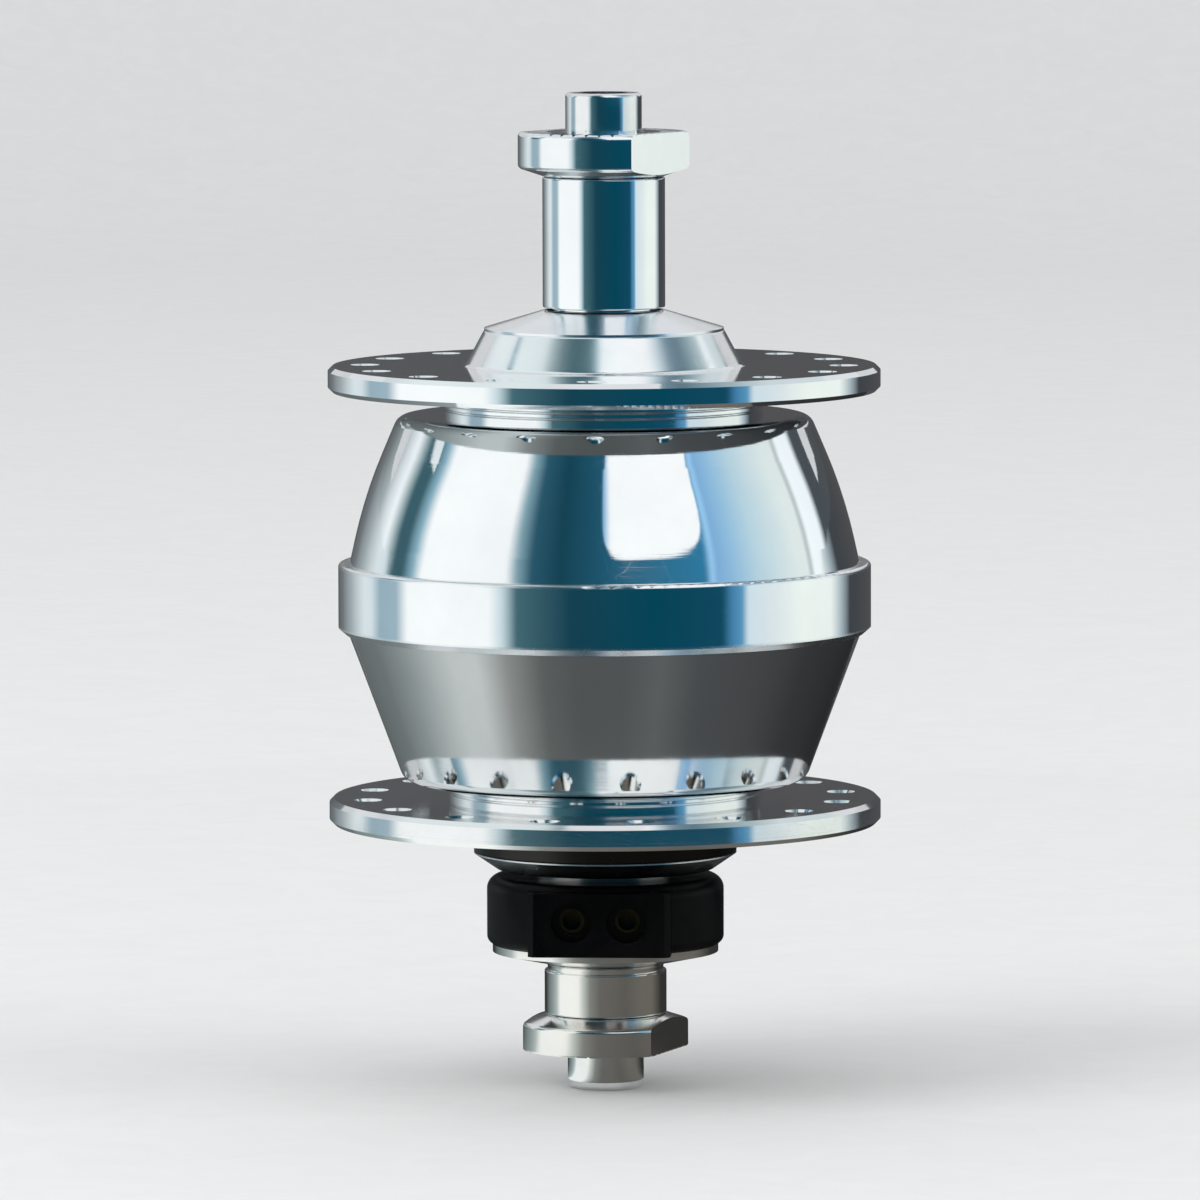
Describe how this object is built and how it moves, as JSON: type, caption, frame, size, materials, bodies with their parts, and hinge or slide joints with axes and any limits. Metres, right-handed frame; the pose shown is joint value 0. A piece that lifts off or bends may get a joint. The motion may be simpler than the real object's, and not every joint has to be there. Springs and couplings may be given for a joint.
{
  "type": "hub dynamo",
  "caption": "Wheel hub with a built-in dynamo: a flanged, belted shell turns on a hollow axle between round locknuts, with an electric connector beside the left flange.",
  "frame": {"origin": "centre of the hub on the axle's axis, midway between the two locknut faces", "axes": "+Z along the axle, up, towards the plain right side; -Y the way the connector faces"},
  "size_m": [0.06, 0.06, 0.1084],
  "materials": {
    "shell_polish": "mirror polished",
    "shell_satin": "fine satin",
    "cap_polish": "polished",
    "spacer_polish": "polished",
    "locknut_steel": "bright, serrated outer face",
    "axle_steel": "turned",
    "housing_black": "semi-gloss moulded",
    "contact_brass": "plated",
    "bearing_steel": "ground",
    "ball_steel": "polished",
    "cage_brass": "machined",
    "seal_rubber": "matt",
    "stator_iron": "pressed iron",
    "rotor_steel": "zinc plated",
    "magnet_ferrite": "sintered",
    "bobbin_plastic": "moulded nylon",
    "coil_copper": "enamelled copper wire",
    "hardware_steel": "blackened spring steel",
    "wire_cover": "insulated wire"
  },
  "bodies": {
    "axle_unit": {"axle": "axle_steel", "right_spacer": "spacer_polish", "right_locknut": "locknut_steel", "left_spacer": "spacer_polish", "left_locknut": "locknut_steel", "connector_housing": "housing_black", "contact_sockets": "contact_brass", "left_sleeve": "spacer_polish", "stator_core": "stator_iron", "stator_claw_right": "stator_iron", "stator_claw_left": "stator_iron", "coil_bobbin": "bobbin_plastic", "coil_winding": "coil_copper", "stator_key": "hardware_steel", "stator_circlips": "hardware_steel", "lead_wires": "wire_cover", "right_bearing_inner_ring": "bearing_steel", "left_bearing_inner_ring": "bearing_steel"},
    "shell": {"hub_shell_right": "shell_polish", "hub_shell_left": "shell_satin", "shell_o_ring": "seal_rubber", "right_dust_cap": "cap_polish", "left_dust_cap": "cap_polish", "right_dust_seal": "seal_rubber", "left_dust_seal": "seal_rubber", "rotor_ring": "rotor_steel", "rotor_magnets": "magnet_ferrite", "right_bearing_outer_ring": "bearing_steel", "left_bearing_outer_ring": "bearing_steel", "right_bearing_seals": "seal_rubber", "left_bearing_seals": "seal_rubber"},
    "right_ball_cage": {"right_bearing_cage": "cage_brass", "right_bearing_balls": "ball_steel"},
    "left_ball_cage": {"left_bearing_cage": "cage_brass", "left_bearing_balls": "ball_steel"}
  },
  "joints": [
    {"name": "shell_spin", "type": "hinge", "parent": "axle_unit", "child": "shell", "pos_m": [0, 0, 0], "axis": [0, 0, 1], "continuous": true},
    {"name": "right_cage_spin", "type": "hinge", "parent": "axle_unit", "child": "right_ball_cage", "pos_m": [0, 0, 0.0245], "axis": [0, 0, 1], "continuous": true},
    {"name": "left_cage_spin", "type": "hinge", "parent": "axle_unit", "child": "left_ball_cage", "pos_m": [0, 0, -0.0245], "axis": [0, 0, 1], "continuous": true}
  ],
  "couplings": [
    {"joint": "right_cage_spin", "follows": "shell_spin", "ratio": 0.59922},
    {"joint": "left_cage_spin", "follows": "shell_spin", "ratio": 0.58819}
  ]
}
